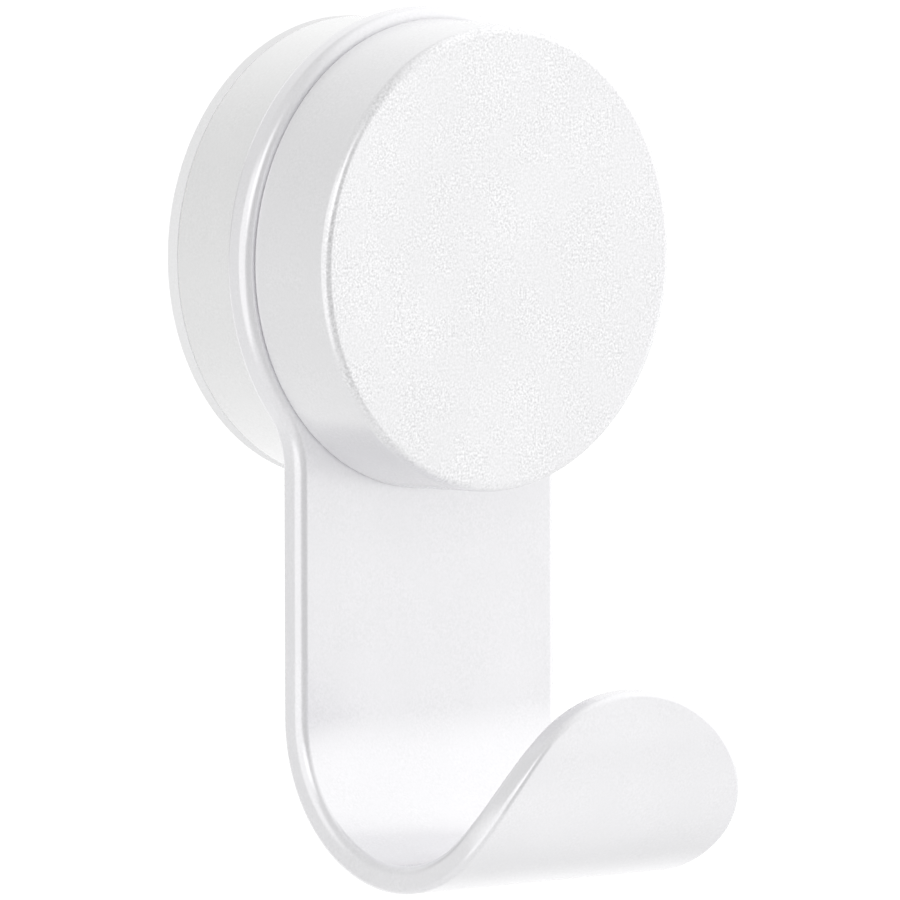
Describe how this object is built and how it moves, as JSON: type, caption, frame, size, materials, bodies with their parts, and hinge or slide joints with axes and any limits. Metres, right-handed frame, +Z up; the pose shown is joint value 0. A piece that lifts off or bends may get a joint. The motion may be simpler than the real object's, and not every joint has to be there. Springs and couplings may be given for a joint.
{
  "type": "wall hook",
  "caption": "Coated wall hook: a wide bent sheet hook with a half-round tip, clamped between a thick round wall base and a thick round front disc.",
  "frame": {"origin": "centre of the bracket's wall face, on the discs' axis", "axes": "+X to the right seen from the room, +Y into the wall along the discs' axis, +Z up"},
  "size_m": [0.053, 0.0467, 0.0933],
  "materials": {
    "disc_coating": "satin white coating",
    "sheet_coating": "satin white coating",
    "cover_coating": "satin white coating with a fine grain on the face",
    "bracket_coating": "matt white coating",
    "screw_steel": "bright steel"
  },
  "bodies": {
    "root": {"base_disc": "disc_coating", "hook_plate": "sheet_coating", "front_disc": "cover_coating", "wall_bracket": "bracket_coating", "clamp_screw": "screw_steel", "grub_screw": "screw_steel", "locating_pin": "screw_steel"}
  },
  "joints": []
}
